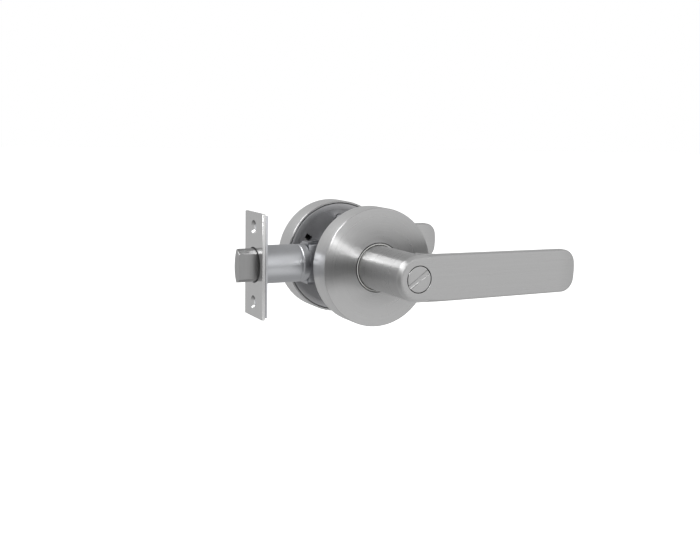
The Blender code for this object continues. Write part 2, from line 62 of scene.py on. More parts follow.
DISC_LOW, DISC_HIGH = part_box("release_disc")
PLATE_LOW, PLATE_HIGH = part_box("latch_faceplate")
BACK_LOW, BACK_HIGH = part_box("latch_backplate")
BOLT_LOW, BOLT_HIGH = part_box("latch_bolt")
TUBE_LOW, TUBE_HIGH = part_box("latch_tube")
CASE_LOW, CASE_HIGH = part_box("latch_case_outside")
CHASSIS_LOW, CHASSIS_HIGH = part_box("outside_chassis")

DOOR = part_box("inside_chassis")[0].y
MID = DOOR / 2


def rotation(degrees, axis):
    return Matrix.Rotation(math.radians(degrees), 4, axis)


OUTSIDE = rotation(90, "X")
INSIDE = Matrix.Translation((0, DOOR, 0)) @ rotation(-90, "X")
LATCH_LINE = Matrix.Translation((0, MID, 0)) @ rotation(90, "Y")

# Rose and bush
ROSE_R = ROSE_HIGH.x
ROSE_H = -ROSE_LOW.y
ROSE_WALL = 0.0012
ROSE_EDGE = 0.0005
ROSE_HOLE_R = 0.0135
RIM_LEAN = 0.7
BUSH_BORE_R = 0.0125
BUSH_LIP_R = 0.0131
BUSH_PROUD = 0.0001
BUSH_GAP = 0.0004

# Lever
BAR_REACH = LEVER_HIGH.x
LEVER_FACE = -LEVER_LOW.y
SHANK_END = -LEVER_HIGH.y
NECK_R = 0.0121
HEAD_R = -LEVER_LOW.x
BAR_THICK = 0.0055
BAR_HALF_AT_TIP = 0.0117
TIP_CORNER_R = 0.0080
TIP_CROWN_R = 0.0400
BAR_ROUND = 0.0010
HEAD_ROUND = 0.0027
BACK_ROUND = 0.0012
NECK_FILLET = 0.0008
NECK_FOOT = 0.0046
SHANK_R = 0.0090
SHANK_FLAT = 0.0076
SHANK_CHAMFER = 0.0003
GROOVE = (-0.0041, -0.0029)
GROOVE_R = 0.0081
SOCKET_HALF = 0.0043
SOCKET_DEPTH = 0.0225
ROD_HOLE_R = 0.0025
GRUB_HEIGHT = 0.0170
GRUB_HOLE_R = 0.0027
LOCK_HEIGHT = 0.0014
LOCK_HOLE_R = 0.0013
HEAD_EASE = 0.0160
BAR_EASE = 0.0040

# Release disc and turn button
DISC_R = DISC_HIGH.x
DISC_SEAT = 0.0531
DISC_FACE = -DISC_LOW.y
DISC_GAP = 0.0004
POCKET_R = DISC_R + DISC_GAP
POCKET_CHAMFER = 0.0001
SLOT_R = 0.0018
SLOT_DEPTH = 0.0007
SLOT_ANGLE = math.radians(36)
GRIP_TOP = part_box("turn_button")[1].y - DOOR

# Chassis and what it carries
CHASSIS_R = CHASSIS_HIGH.x
CHASSIS_TOP = 0.0024
CHASSIS_RECESS = 0.0004
PAD_INNER_R = 0.0275
CHASSIS_BORE_R = 0.0093
BOSS_INNER_R = 0.0150
BOSS_OUTER_R = 0.0170
BOSS_TOP = -CHASSIS_LOW.y
THROUGH = (-0.0010, 0.0040)
BOLT_CIRCLE_R = 0.0225
POST_SEAT = ((0.0042, -0.0010), (0.0042, 0.0012), (0.0053, 0.0012), (0.0053, 0.0030))
BOLT_SEAT = ((0.0025, -0.0010), (0.0025, 0.0004), (0.0046, 0.0021), (0.0046, 0.0030))
PRONG_SLOT = (0.0206, 0.0246)
LOCK_POCKET = (0.0085, 0.0109)
PEG_CIRCLE_R = 0.0228
PEG_R = 0.0013
PEG_HEIGHTS = (0.0012, 0.0070)
LEVER_SWEEP = math.radians(58)
PRONG_ANGLE = math.radians(210)
PEG_ANGLE = math.radians(40)

# Latch
SCREW_HOLE_Z = 0.0206
SCREW_HOLE_R = 0.0024
COUNTERSINK_R = 0.0038
CLEARANCE_HOLE_R = 0.0045
BOLT_R = BOLT_HIGH.z
BOLT_NOSE = BOLT_LOW.x
BOLT_TAIL = BOLT_HIGH.x
BOLT_HALF_W = MID - BOLT_LOW.y
BOLT_HOLE_R = 0.0098
NOSE_CROWN_R = 0.0250
TUBE_R = TUBE_HIGH.z
TUBE_BORE_R = 0.0094
TUBE_END = TUBE_HIGH.x
TUBE_WALL = TUBE_END - 0.0015
HUB_R = 0.0076
FINGER_LEAN = math.radians(29)
CASE_IN = MID - CASE_HIGH.y
CASE_OUT = MID - CASE_LOW.y
RIVET = (0.0115, 0.0065)
RIVET_R = 0.0014
GAP = 0.0003
OVERSHOOT = 0.0020

FINE = 192
MEDIUM = 96
SMALL = 48


# Shapes

def ring(radius, height, sides):
    """Points round a circle at a height, from the top anticlockwise."""
    angles = math.pi / 2 + 2 * math.pi * np.arange(sides) / sides
    return np.column_stack((radius * np.cos(angles), radius * np.sin(angles), np.full(sides, height)))


def polar(radius, angle):
    return radius * math.cos(angle), radius * math.sin(angle)


def stack(points, sides):
    """A ring for each (radius, height)."""
    return [ring(radius, height, sides) for radius, height in points]


def square_ring(half, height, sides):
    """The same directions, carried out to a square."""
    circle = ring(1.0, height, sides)
    circle[:, :2] *= half / np.abs(circle[:, :2]).max(axis=1, keepdims=True)
    return circle


def polygon_ring(inner_radius, height, sides, corners):
    """The same directions, carried out to a regular polygon."""
    circle = ring(1.0, height, sides)
    angles = np.arctan2(circle[:, 1], circle[:, 0])
    step = 2 * math.pi / corners
    off = (angles + step / 2) % step - step / 2
    circle[:, :2] *= (inner_radius / np.cos(off))[:, None]
    return circle


def add_object(name, data):
    made = bpy.data.objects.new(name, data)
    bpy.context.scene.collection.objects.link(made)
    return made


def shape_object(name, shape, place=Matrix.Identity(4)):
    """Turn a bmesh into an object, carried into the frame."""
    bmesh.ops.recalc_face_normals(shape, faces=shape.faces)
    mesh = bpy.data.meshes.new(name)
    shape.to_mesh(mesh)
    shape.free()
    mesh.transform(place)
    return add_object(name, mesh)


def skin(name, rings, place, looped=False):
    """Join rings of equally many points in order. A looped skin joins its last ring to its first, and
    any other has its two ends closed."""
    sides = len(rings[0])
    count = len(rings)
    faces = []
    for k in range(count if looped else count - 1):
        low, high = k * sides, ((k + 1) % count) * sides
        for i in range(sides):
            on = (i + 1) % sides
            faces.append((low + i, low + on, high + on, high + i))
    if not looped:
        faces.append(tuple(range(sides)))
        faces.append(tuple((count - 1) * sides + i for i in range(sides)))
    shape = bmesh.new()
    corners = [shape.verts.new(point) for point in np.concatenate(rings)]
    for face in faces:
        shape.faces.new([corners[i] for i in face])
    return shape_object(name, shape, place)


def rounded(points, radius, looped=False, steps=3):
    """The same outline with round corners. A point may carry its own radius as a third value."""
    made = []
    for i, point in enumerate(points):
        here = Vector(point[:2])
        reach = point[2] if len(point) > 2 else radius
        back = Vector(points[i - 1][:2]) - here
        on = Vector(points[(i + 1) % len(points)][:2]) - here
        is_end = not looped and i in (0, len(points) - 1)
        if is_end or reach == 0 or back.angle(on) > math.radians(176):
            made.append(tuple(here))
            continue
        size = min(reach / math.tan(back.angle(on) / 2), 0.48 * back.length, 0.48 * on.length)
        start, end = here + size * back.normalized(), here + size * on.normalized()
        for step in range(steps + 1):
            t = step / steps
            made.append(tuple((1 - t) ** 2 * start + 2 * t * (1 - t) * here + t * t * end))
    return made


def lathe(name, profile, place, sides=MEDIUM, looped=False, centre=(0, 0), radius=0.0002):
    """Turn (radius, height) points, with their corners rounded, about a local centre."""
    rings = stack(rounded(profile, radius, looped), sides)
    for points in rings:
        points[:, :2] += centre
    return skin(name, rings, place, looped)


def arc(centre, radius, start, end, steps):
    angles = np.linspace(start, end, steps + 1)
    return [(centre[0] + radius * math.cos(a), centre[1] + radius * math.sin(a)) for a in angles]


def bevel(shape, edges, width):
    bmesh.ops.bevel(shape, geom=edges, offset=width, segments=2, profile=0.5, affect="EDGES")


def prism(name, outline, low, high, place, edge=0.0):
    """A flat outline given thickness, with a small bevel round both faces."""
    shape = bmesh.new()
    base = shape.faces.new([shape.verts.new((x, y, low)) for x, y in outline])
    top = bmesh.ops.extrude_face_region(shape, geom=[base])
    moved = [v for v in top["geom"] if isinstance(v, bmesh.types.BMVert)]
    bmesh.ops.translate(shape, vec=(0, 0, high - low), verts=moved)
    bmesh.ops.recalc_face_normals(shape, faces=shape.faces)
    if edge:
        flat = [e for e in shape.edges if abs(e.verts[0].co.z - e.verts[1].co.z) < 1e-9]
        bevel(shape, flat, edge)
    return shape_object(name, shape, place)


def box(name, low, high, place=Matrix.Identity(4), edge=0.0):
    """A block between two corners, with beveled edges."""
    low, high = Vector(low), Vector(high)
    shape = bmesh.new()
    bmesh.ops.create_cube(shape, size=1.0)
    bmesh.ops.scale(shape, vec=high - low, verts=shape.verts)
    bmesh.ops.translate(shape, vec=(high + low) / 2, verts=shape.verts)
    if edge:
        bevel(shape, shape.edges[:], edge)
    return shape_object(name, shape, place)


def rod(name, radius, start, end, place, sides=SMALL, edge=0.0):
    """A round bar between two local points."""
    start, end = Vector(start), Vector(end)
    along = end - start
    turn = Matrix.Translation(start) @ along.to_track_quat("Z", "Y").to_matrix().to_4x4()
    profile = [(radius - edge, 0), (radius, 0), (radius, along.length), (radius - edge, along.length)]
    if not edge:
        profile = [(radius, 0), (radius, along.length)]
    return skin(name, stack(rounded(profile, edge), sides), place @ turn)


def combine(part, tool, how="DIFFERENCE"):
    """Cut or join a tool at once, and throw the tool away."""
    step = part.modifiers.new("combine", "BOOLEAN")
    step.operation = how
    step.solver = "EXACT"
    step.object = tool
    graph = bpy.context.evaluated_depsgraph_get()
    mesh = bpy.data.meshes.new_from_object(part.evaluated_get(graph))
    part.modifiers.clear()
    part.data = mesh
    bpy.data.objects.remove(tool, do_unlink=True)


def wire(name, points, radius, place=Matrix.Identity(4)):
    """A round wire along points, as a mesh with closed ends."""
    curve = bpy.data.curves.new(name, "CURVE")
    curve.dimensions = "3D"
    curve.bevel_depth = radius
    curve.bevel_resolution = 5
    curve.use_fill_caps = True
    spline = curve.splines.new("POLY")
    spline.points.add(len(points) - 1)
    for point, where in zip(spline.points, points):
        point.co = (*(place @ Vector(where)), 1)
    guide = add_object(name, curve)
    graph = bpy.context.evaluated_depsgraph_get()
    skinned = bpy.data.meshes.new_from_object(guide.evaluated_get(graph))
    bpy.data.objects.remove(guide, do_unlink=True)
    shape = bmesh.new()
    shape.from_mesh(skinned)
    bpy.data.meshes.remove(skinned)
    bmesh.ops.remove_doubles(shape, verts=shape.verts, dist=1e-7)
    return shape_object(name, shape)


def soft_edges(part, width, segments, angle):
    """Round off the corners sharper than an angle."""
    edge = part.modifiers.new("edge", "BEVEL")
    edge.width = width
    edge.segments = segments
    edge.limit_method = "ANGLE"
    edge.angle_limit = math.radians(angle)


# Materials

# A mix node's two value sockets and its result, by the kind of value
MIX_SOCKETS = {"VECTOR": (4, 5, 1), "RGBA": (6, 7, 2)}
QUARTER_TURN = 0.25


class Nodes:
    """A node tree that is easy to add to. Values may be numbers or sockets."""

    def __init__(self, tree):
        self.tree = tree

    def add(self, kind, **settings):
        node = self.tree.nodes.new(kind)
        for key, value in settings.items():
            setattr(node, key, value)
        return node

    def feed(self, socket, value):
        if isinstance(value, bpy.types.NodeSocket):
            self.tree.links.new(value, socket)
        else:
            socket.default_value = value

    def compute(self, kind, values, **settings):
        """Add a node, feed its first sockets and return its first result."""
        node = self.add(kind, **settings)
        for socket, value in zip(node.inputs, values):
            self.feed(socket, value)
        return node.outputs[0]

    def fill(self, node, values):
        """Feed a node's inputs by name."""
        for name, value in values.items():
            self.feed(node.inputs[name], value)

    def maths(self, operation, first, second=0.0):
        return self.compute("ShaderNodeMath", (first, second), operation=operation)

    plus = partialmethod(maths, "ADD")
    minus = partialmethod(maths, "SUBTRACT")
    times = partialmethod(maths, "MULTIPLY")
    over = partialmethod(maths, "DIVIDE")
    larger = partialmethod(maths, "MAXIMUM")
    size = partialmethod(maths, "ABSOLUTE")

    def weigh(self, first, second, share):
        """The first value with this share of the weight, and the second with the rest."""
        return self.plus(self.times(first, share), self.times(second, 1 - share))

    def split(self, vector):
        node = self.add("ShaderNodeSeparateXYZ")
        self.feed(node.inputs[0], vector)
        return node.outputs[0], node.outputs[1], node.outputs[2]

    def join(self, x, y, z):
        return self.compute("ShaderNodeCombineXYZ", (x, y, z))

    def remap(self, value, low, high, new_low=0.0, new_high=1.0):
        return self.compute("ShaderNodeMapRange", (value, low, high, new_low, new_high))

    def mix(self, kind, share, first, second):
        node = self.add("ShaderNodeMix", data_type=kind)
        from_socket, to_socket, result = MIX_SOCKETS[kind]
        self.feed(node.inputs[0], share)
        self.feed(node.inputs[from_socket], first)
        self.feed(node.inputs[to_socket], second)
        return node.outputs[result]


class Surface(Nodes):
    """A Principled metal or plastic."""

    def __init__(self, name, colour, roughness, metallic=1.0, anisotropic=0.0):
        self.material = bpy.data.materials.new(name)
        self.material.use_nodes = True
        super().__init__(self.material.node_tree)
        self.shader = self.tree.nodes["Principled BSDF"]
        self.fill(self.shader, {"Base Color": (*colour, 1), "Roughness": roughness})
        self.fill(self.shader, {"Metallic": metallic, "Anisotropic": anisotropic})
        self.colour = colour
        self.roughness = roughness
        self.where = self.add("ShaderNodeTexCoord").outputs["Object"]

    def normal(self, axis):
        """The share of the normal that points along X, Y or Z."""
        return self.split(self.add("ShaderNodeTexCoord").outputs["Normal"])[axis]

    def noise(self, vector, scale=1.0, detail=3.0, rough=0.6):
        node = self.add("ShaderNodeTexNoise")
        self.fill(node, {"Vector": vector, "Scale": scale, "Detail": detail, "Roughness": rough})
        return node.outputs["Fac"]

    def tint(self, value, spread, painted_light_and_shade=1.0):
        """Lighten and darken the base colour with a value near 0.5, and scale it all by the painted
        light and shade.
        """
        dark = [c * (1 - spread) for c in self.colour]
        light = [min(1.0, c * (1 + spread)) for c in self.colour]
        scaled = self.add("ShaderNodeVectorMath", operation="SCALE")
        self.feed(scaled.inputs[0], self.mix("RGBA", value, (*dark, 1), (*light, 1)))
        self.feed(scaled.inputs[3], painted_light_and_shade)
        self.feed(self.shader.inputs["Base Color"], scaled.outputs[0])

    def vary_roughness(self, value, spread, more=0.0):
        """Spread the roughness round its middle with a value near 0.5, and add more to it all."""
        low, high = self.roughness - spread, self.roughness + spread
        varied = self.remap(value, 0.25, 0.75, low, high)
        self.feed(self.shader.inputs["Roughness"], self.plus(varied, more))

    def bump(self, value, strength, distance):
        node = self.add("ShaderNodeBump")
        self.fill(node, {"Strength": strength, "Distance": distance, "Height": value})
        self.feed(self.shader.inputs["Normal"], node.outputs[0])

    def along(self, direction):
        """Take the object-space direction of the brushing as the surface's tangent."""
        node = self.add("ShaderNodeVectorTransform", vector_type="VECTOR")
        node.convert_from = "OBJECT"
        node.convert_to = "WORLD"
        self.feed(node.inputs[0], direction)
        self.fill(self.shader, {"Tangent": node.outputs[0], "Anisotropic Rotation": QUARTER_TURN})


STEEL = (0.60, 0.60, 0.60)

# Noise cells per metre across the brushing and along it, and per radius round an axis
LINE = 5200.0
SWEEP = 26.0
ROUND_SWEEP = 1.6

# How far the brushing moves the tint and the roughness, and how it dents the metal
BRUSH_TINT = 0.16
BRUSH_ROUGHNESS = 0.06
BRUSH_BUMP = 0.10
BRUSH_DEPTH = 0.00002

# The lever's painted shade and painted light, as shares of the neck's colour
BAR_PAINTED_SHADE = 0.87
TIP_PAINTED_SHADE = 0.78
BAR_SIDE_PAINTED_LIGHT = 1.4
GAP_PAINTED_SHADE = 0.1
EDGE_PAINTED_LIGHT = 0.2
EDGE_ROUGHER = 0.22


def turned_grain(look):
    """Brushing that runs round the Y axis: its texture position, its direction and the radius."""
    x, y, z = look.split(look.where)
    radius = look.maths("SQRT", look.plus(look.times(x, x), look.times(z, z)))
    across = look.times(look.plus(radius, y), LINE)
    u = look.over(x, radius)
    v = look.over(z, radius)
    place = look.join(look.times(u, ROUND_SWEEP), look.times(v, ROUND_SWEEP), across)
    direction = look.join(look.times(v, -1.0), 0.0, u)
    return place, direction, radius


def straight_grain(look, axis):
    """Brushing that runs along X, Y or Z: its texture position and its direction."""
    scale = [LINE, LINE, LINE]
    scale[axis] = SWEEP
    place = look.compute("ShaderNodeVectorMath", (look.where, scale), operation="MULTIPLY")
    direction = [0.0, 0.0, 0.0]
    direction[axis] = 1.0
    return place, look.join(*direction)


def brush(look, place, strength=1.0, painted_light_and_shade=1.0, rougher=0.0):
    """Fine scratches with broader streaks among them. The colour is scaled by painted light and shade:
    below 1 it is painted shade on what lies in a gap, above 1 painted light.
    """
    fine = look.noise(place, 1.0, 4.0, 0.7)
    broad = look.noise(place, 0.16, 3.0, 0.6)
    both = look.weigh(fine, broad, 0.5)
    look.tint(both, BRUSH_TINT * strength, painted_light_and_shade)
    look.vary_roughness(both, BRUSH_ROUGHNESS * strength, rougher)
    look.bump(fine, BRUSH_BUMP * strength, BRUSH_DEPTH)


def turned_steel(name, tone, roughness, anisotropic):
    """Satin steel brushed round the axis. Painted shade darkens the wall of the hole for the neck."""
    look = Surface(name, (tone, tone, tone), roughness, anisotropic=anisotropic)
    place, direction, radius = turned_grain(look)
    # Painted shade: the wall of the hole for the neck is darkened
    painted_light_and_shade = look.remap(radius, ROSE_HOLE_R, ROSE_HOLE_R + 0.0003, 0.15, 1.0)
    brush(look, place, painted_light_and_shade=painted_light_and_shade)
    look.along(direction)
    return look.material


def lever_steel():
    """The neck is brushed round and the bar lengthwise. They blend over the round edge between them."""
    look = Surface("lever_satin_steel", STEEL, 0.30, anisotropic=1.0)
    round_place, round_direction, radius = turned_grain(look)
    flat_place, flat_direction = straight_grain(look, 0)
    facing = look.size(look.normal(1))
    on_face = look.remap(facing, 0.86, 0.98)
    off_neck = look.remap(radius, HEAD_R + 0.0002, HEAD_R + 0.0006)
    bar = look.larger(on_face, off_neck)
    place = look.mix("VECTOR", look.maths("GREATER_THAN", bar, 0.5), round_place, flat_place)

    # The bar is painted in shade, darker still at the tip, and painted in light down the sides
    along_x, along_y, _ = look.split(look.where)
    toward_tip = look.remap(along_x, 0.088, 0.099, BAR_PAINTED_SHADE, TIP_PAINTED_SHADE)
    tone = look.times(toward_tip, look.remap(facing, 0.3, 0.9, BAR_SIDE_PAINTED_LIGHT, 1.0))
    bar_painted_shade_and_light = look.plus(look.times(look.minus(tone, 1.0), bar), 1.0)

    # The head's round edge has painted light on it, and is rougher than what it joins
    outside_gap = look.remap(radius, DISC_R + 0.0008, DISC_R + 0.0012)
    rounding = look.times(look.remap(facing, 0.05, 0.40), look.minus(1.0, bar))
    edge = look.times(rounding, outside_gap)
    lit = look.plus(bar_painted_shade_and_light, look.times(edge, EDGE_PAINTED_LIGHT))

    # Painted shade darkens the gap round the disc below the lever's face
    depth = look.size(look.minus(along_y, MID))
    above_face = look.maths("GREATER_THAN", depth, MID + LEVER_FACE - 0.0003)
    clear = look.larger(outside_gap, above_face)
    open_share = look.larger(clear, look.remap(facing, 0.3, 0.6))
    gap = look.remap(open_share, 0.0, 1.0, GAP_PAINTED_SHADE, 1.0)
    rougher = look.times(edge, EDGE_ROUGHER)
    brush(look, place, painted_light_and_shade=look.times(lit, gap), rougher=rougher)
    look.along(look.mix("VECTOR", bar, round_direction, flat_direction))
    return look.material


def plate_steel():
    """Satin steel brushed upright. The countersinks' upper walls face down, and painted shade darkens
    them.
    """
    look = Surface("faceplate_satin_steel", (0.93, 0.93, 0.93), 0.18, anisotropic=0.6)
    place, direction = straight_grain(look, 2)
    # Painted shade darkens every face that points down
    brush(look, place, painted_light_and_shade=look.remap(look.normal(2), -0.6, -0.1, 0.3, 1.0))
    look.along(direction)
    return look.material


def bolt_metal():
    """Nickel plate brushed upright, paler on the bolt's nose by painted light."""
    look = Surface("latch_bolt_metal", (0.40, 0.40, 0.40), 0.34, anisotropic=0.4)
    place, direction = straight_grain(look, 2)
    # Painted light makes the faces that point toward the nose end paler
    nose = look.times(look.normal(0), -1.0)
    brush(look, place, 0.8, look.remap(nose, 0.4, 0.7, 1.0, 1.6))
    look.along(direction)
    return look.material


def weather(look, grain, value, tint, roughness, bump, depth, painted_light_and_shade=1.0):
    """Let a noise value vary the tint and the roughness, and let its grain dent the surface."""
    look.tint(value, tint, painted_light_and_shade)
    look.vary_roughness(value, roughness)
    look.bump(grain, bump, depth)
    return look.material


def zinc_plate():
    look = Surface("bright_zinc_plate", (0.58, 0.59, 0.61), 0.34)
    grain = look.noise(look.where, 900.0, 5.0, 0.65)
    cloud = look.noise(look.where, 120.0, 2.0, 0.5)
    both = look.weigh(grain, cloud, 0.6)
    return weather(look, grain, both, tint=0.14, roughness=0.08, bump=0.12, depth=0.00003)


def spring_steel():
    look = Surface("oiled_spring_steel", (0.27, 0.27, 0.28), 0.30)
    grain = look.noise(look.where, 1400.0, 4.0, 0.6)
    return weather(look, grain, grain, tint=0.25, roughness=0.07, bump=0.10, depth=0.00002)


def die_casting():
    look = Surface("zinc_die_casting", (0.46, 0.46, 0.47), 0.46)
    grain = look.noise(look.where, 1900.0, 6.0, 0.7)
    flow = look.noise(look.where, 70.0, 3.0, 0.6)
    both = look.weigh(grain, flow, 0.5)
    return weather(look, grain, both, tint=0.18, roughness=0.09, bump=0.25, depth=0.00005)


def acetal():
    """Pale on the ring that shows, with painted shade on the walls down in the gaps."""
    look = Surface("natural_acetal", (0.80, 0.80, 0.78), 0.42, metallic=0.0)
    grain = look.noise(look.where, 1600.0, 4.0, 0.6)
    facing = look.size(look.normal(1))
    # Painted shade on every wall that does not face along Y
    painted_light_and_shade = look.remap(facing, 0.3, 0.6, 0.04, 0.85)
    return weather(look, grain, grain, tint=0.05, roughness=0.06, bump=0.12, depth=0.00003, painted_light_and_shade=painted_light_and_shade)


TURNED = turned_steel("turned_satin_steel", 0.58, 0.30, 1.0)
# The rim's copy of the turned steel has a paler base colour, which is painted light
RIM_PAINTED_LIGHT = turned_steel("rim_satin_steel_painted_light", 0.84, 0.34, 0.35)
LEVER = lever_steel()
PLATE = plate_steel()
BOLT = bolt_metal()
ZINC = zinc_plate()
SPRING = spring_steel()
CASTING = die_casting()
ACETAL = acetal()


def finish(piece, node, body, material, smooth=35):
    """Shade a piece, give it its material, and let it stand for its CAD node on that node's body."""
    piece.data.shade_smooth()
    piece.data.set_sharp_from_angle(angle=math.radians(smooth))
    piece.data.materials.clear()
    piece.data.materials.append(material)
    piece.name = f"{node}_look"
    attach(piece, body)
    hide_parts(node)


# The lever

def bar_outline(sides):
    """Round at the neck, tapering a little to a crowned end with round corners. Its points start at the
    top and run anticlockwise, as ring's do, with half of them round the head."""
    head = arc((0, 0), HEAD_R, math.pi / 2, 3 * math.pi / 2, sides // 2)
    corner_y = BAR_HALF_AT_TIP - TIP_CORNER_R
    lean = math.asin(corner_y / (TIP_CROWN_R - TIP_CORNER_R))
    crown_x = BAR_REACH - TIP_CROWN_R
    corner_x = crown_x + (TIP_CROWN_R - TIP_CORNER_R) * math.cos(lean)
    edge_steps, corner_steps = 22, 14
    tip_steps = sides // 2 - 2 * edge_steps - 2 * corner_steps
    low_edge = np.linspace((0, -HEAD_R), (corner_x, -BAR_HALF_AT_TIP), edge_steps + 1)[1:]
    low_corner = arc((corner_x, -corner_y), TIP_CORNER_R, -math.pi / 2, -lean, corner_steps)[1:]
    tip = arc((crown_x, 0), TIP_CROWN_R, -lean, lean, tip_steps)[1:]
    high_corner = arc((corner_x, corner_y), TIP_CORNER_R, lean, math.pi / 2, corner_steps)[1:]
    high_edge = np.linspace((corner_x, BAR_HALF_AT_TIP), (0, HEAD_R), edge_steps + 1)[1:-1]
    return np.concatenate((head, low_edge, low_corner, tip, high_corner, high_edge))


def ease(value):
    value = np.clip(value, 0, 1)
    return value * value * (3 - 2 * value)


def flat_sided(points):
    """Clamp a ring of the shank to its two flats."""
    points = points.copy()
    points[:, 0] = np.clip(points[:, 0], -SHANK_FLAT, SHANK_FLAT)
    return points


def lever_rings(sides):
    """From the pocket for the disc, over the face and down the neck, to the socket in the shank."""
    outline = bar_outline(sides)
    run = np.roll(outline, -1, axis=0) - np.roll(outline, 1, axis=0)
    run /= np.linalg.norm(run, axis=1, keepdims=True)
    inward = np.column_stack((-run[:, 1], run[:, 0]))
    off_head = ease(outline[:, 0] / HEAD_EASE)
    front_round = (HEAD_ROUND * (1 - off_head) + BAR_ROUND * off_head)[:, None]
    on_bar = ease(outline[:, 0] / BAR_EASE)[:, None]
    bar_back = LEVER_FACE - BAR_THICK

    def level(inset, height):
        flat = outline + inward * inset
        heights = np.broadcast_to(np.asarray(height, float), (sides, 1))
        return np.hstack((flat, heights))

    pocket = [(ROD_HOLE_R, DISC_SEAT), (POCKET_R, DISC_SEAT), (POCKET_R, LEVER_FACE - POCKET_CHAMFER)]
    rings = stack([*pocket, (POCKET_R + POCKET_CHAMFER, LEVER_FACE)], sides)
    turns = np.linspace(0, math.pi / 2, 9)
    for t in turns:
        drop = front_round * (1 - math.cos(t))
        rings.append(level(front_round * (1 - math.sin(t)), LEVER_FACE - drop))
    to_neck = HEAD_R - NECK_R
    for t in turns[::2]:
        inset = to_neck * (1 - on_bar) + BACK_ROUND * (1 - math.cos(t)) * on_bar
        rings.append(level(inset, bar_back + BACK_ROUND * (1 - math.sin(t))))
    neck = ring(NECK_R, 0, sides)[:, :2]
    room = np.linalg.norm(rings[-1][:, :2] - neck, axis=1, keepdims=True)
    flare = np.minimum(NECK_FILLET, 0.45 * room) * on_bar
    for t in turns[::2]:
        flat = neck * (1 + flare * (1 - math.sin(t)) / NECK_R)
        height = np.full((sides, 1), bar_back - NECK_FILLET * (1 - math.cos(t)) - 0.00002)
        rings.append(np.hstack((flat, height)))
    heights = np.linspace(bar_back - 0.003, NECK_FOOT + 0.002, 13)
    rings += stack([(NECK_R, height) for height in heights], sides)
    rings += stack([(NECK_R, NECK_FOOT + SHANK_CHAMFER), (NECK_R - SHANK_CHAMFER, NECK_FOOT)], sides)
    rings += stack([(SHANK_R, NECK_FOOT), (SHANK_R, 0)], sides)
    shank = [(SHANK_R, -0.00001), (SHANK_R, GROOVE[1]), (GROOVE_R, GROOVE[1]), (GROOVE_R, GROOVE[0])]
    shank += [(SHANK_R, GROOVE[0]), (SHANK_R, SHANK_END + SHANK_CHAMFER)]
    shank += [(SHANK_R - SHANK_CHAMFER, SHANK_END)]
    rings += [flat_sided(points) for points in stack(shank, sides)]
    rings += [square_ring(SOCKET_HALF + SHANK_CHAMFER, SHANK_END, sides)]
    rings += [square_ring(SOCKET_HALF, SHANK_END + SHANK_CHAMFER, sides)]
    rings += [square_ring(SOCKET_HALF, SOCKET_DEPTH, sides), ring(ROD_HOLE_R, SOCKET_DEPTH, sides)]
    return rings


def lever(side, place, sense):
    part = skin(f"{side}_lever", lever_rings(FINE), place, looped=True)
    start, end = (0, -0.0030 * sense, GRUB_HEIGHT), (0, -0.0140 * sense, GRUB_HEIGHT)
    combine(part, rod("grub_hole", GRUB_HOLE_R, start, end, place))
    if side == "inside":
        start, end = (0, -0.0030, LOCK_HEIGHT), (0, -0.0110, LOCK_HEIGHT)
        combine(part, rod("pin_hole", LOCK_HOLE_R, start, end, place))
    finish(part, f"{side}_lever", "levers", LEVER)


# The round parts of each half

def rose_cover(side, place):
    profile = [(ROSE_HOLE_R, ROSE_H, 0.0001), (ROSE_R, ROSE_H, ROSE_EDGE), (ROSE_R, 0, 0.0003)]
    profile += [(ROSE_R - ROSE_WALL, 0), (ROSE_R - ROSE_WALL, ROSE_H - ROSE_WALL)]
    profile += [(ROSE_HOLE_R, ROSE_H - ROSE_WALL, 0.0001)]
    part = lathe(f"{side}_rose_cover", profile, place, FINE, looped=True)
    finish(part, f"{side}_rose_cover", "door_set", TURNED)
    # Faces that lean away from the front take the rim's copy of the steel, painted lighter
    part.data.materials.append(RIM_PAINTED_LIGHT)
    for face in part.data.polygons:
        face.material_index = int(abs(face.normal.y) < RIM_LEAN)


def neck_bush(side, place):
    top = ROSE_H + BUSH_PROUD
    sleeve = BOSS_INNER_R - GAP
    under_cover = ROSE_H - ROSE_WALL - GAP
    floor = CHASSIS_TOP + GAP
    shank_bore = SHANK_R + BUSH_GAP
    profile = [(BUSH_BORE_R, top, 0.00003), (BUSH_LIP_R, top, 0.00003)]
    profile += [(BUSH_LIP_R, under_cover), (sleeve, under_cover), (sleeve, floor)]
    profile += [(shank_bore, floor), (shank_bore, NECK_FOOT - BUSH_GAP)]
    profile += [(BUSH_BORE_R, NECK_FOOT - BUSH_GAP)]
    part = lathe(f"{side}_neck_bush", profile, place, FINE, looped=True)
    finish(part, f"{side}_neck_bush", "door_set", ACETAL)


def curved_slot(inner, outer, start, end, steps):
    return arc((0, 0), outer, start, end, steps) + arc((0, 0), inner, end, start, steps)


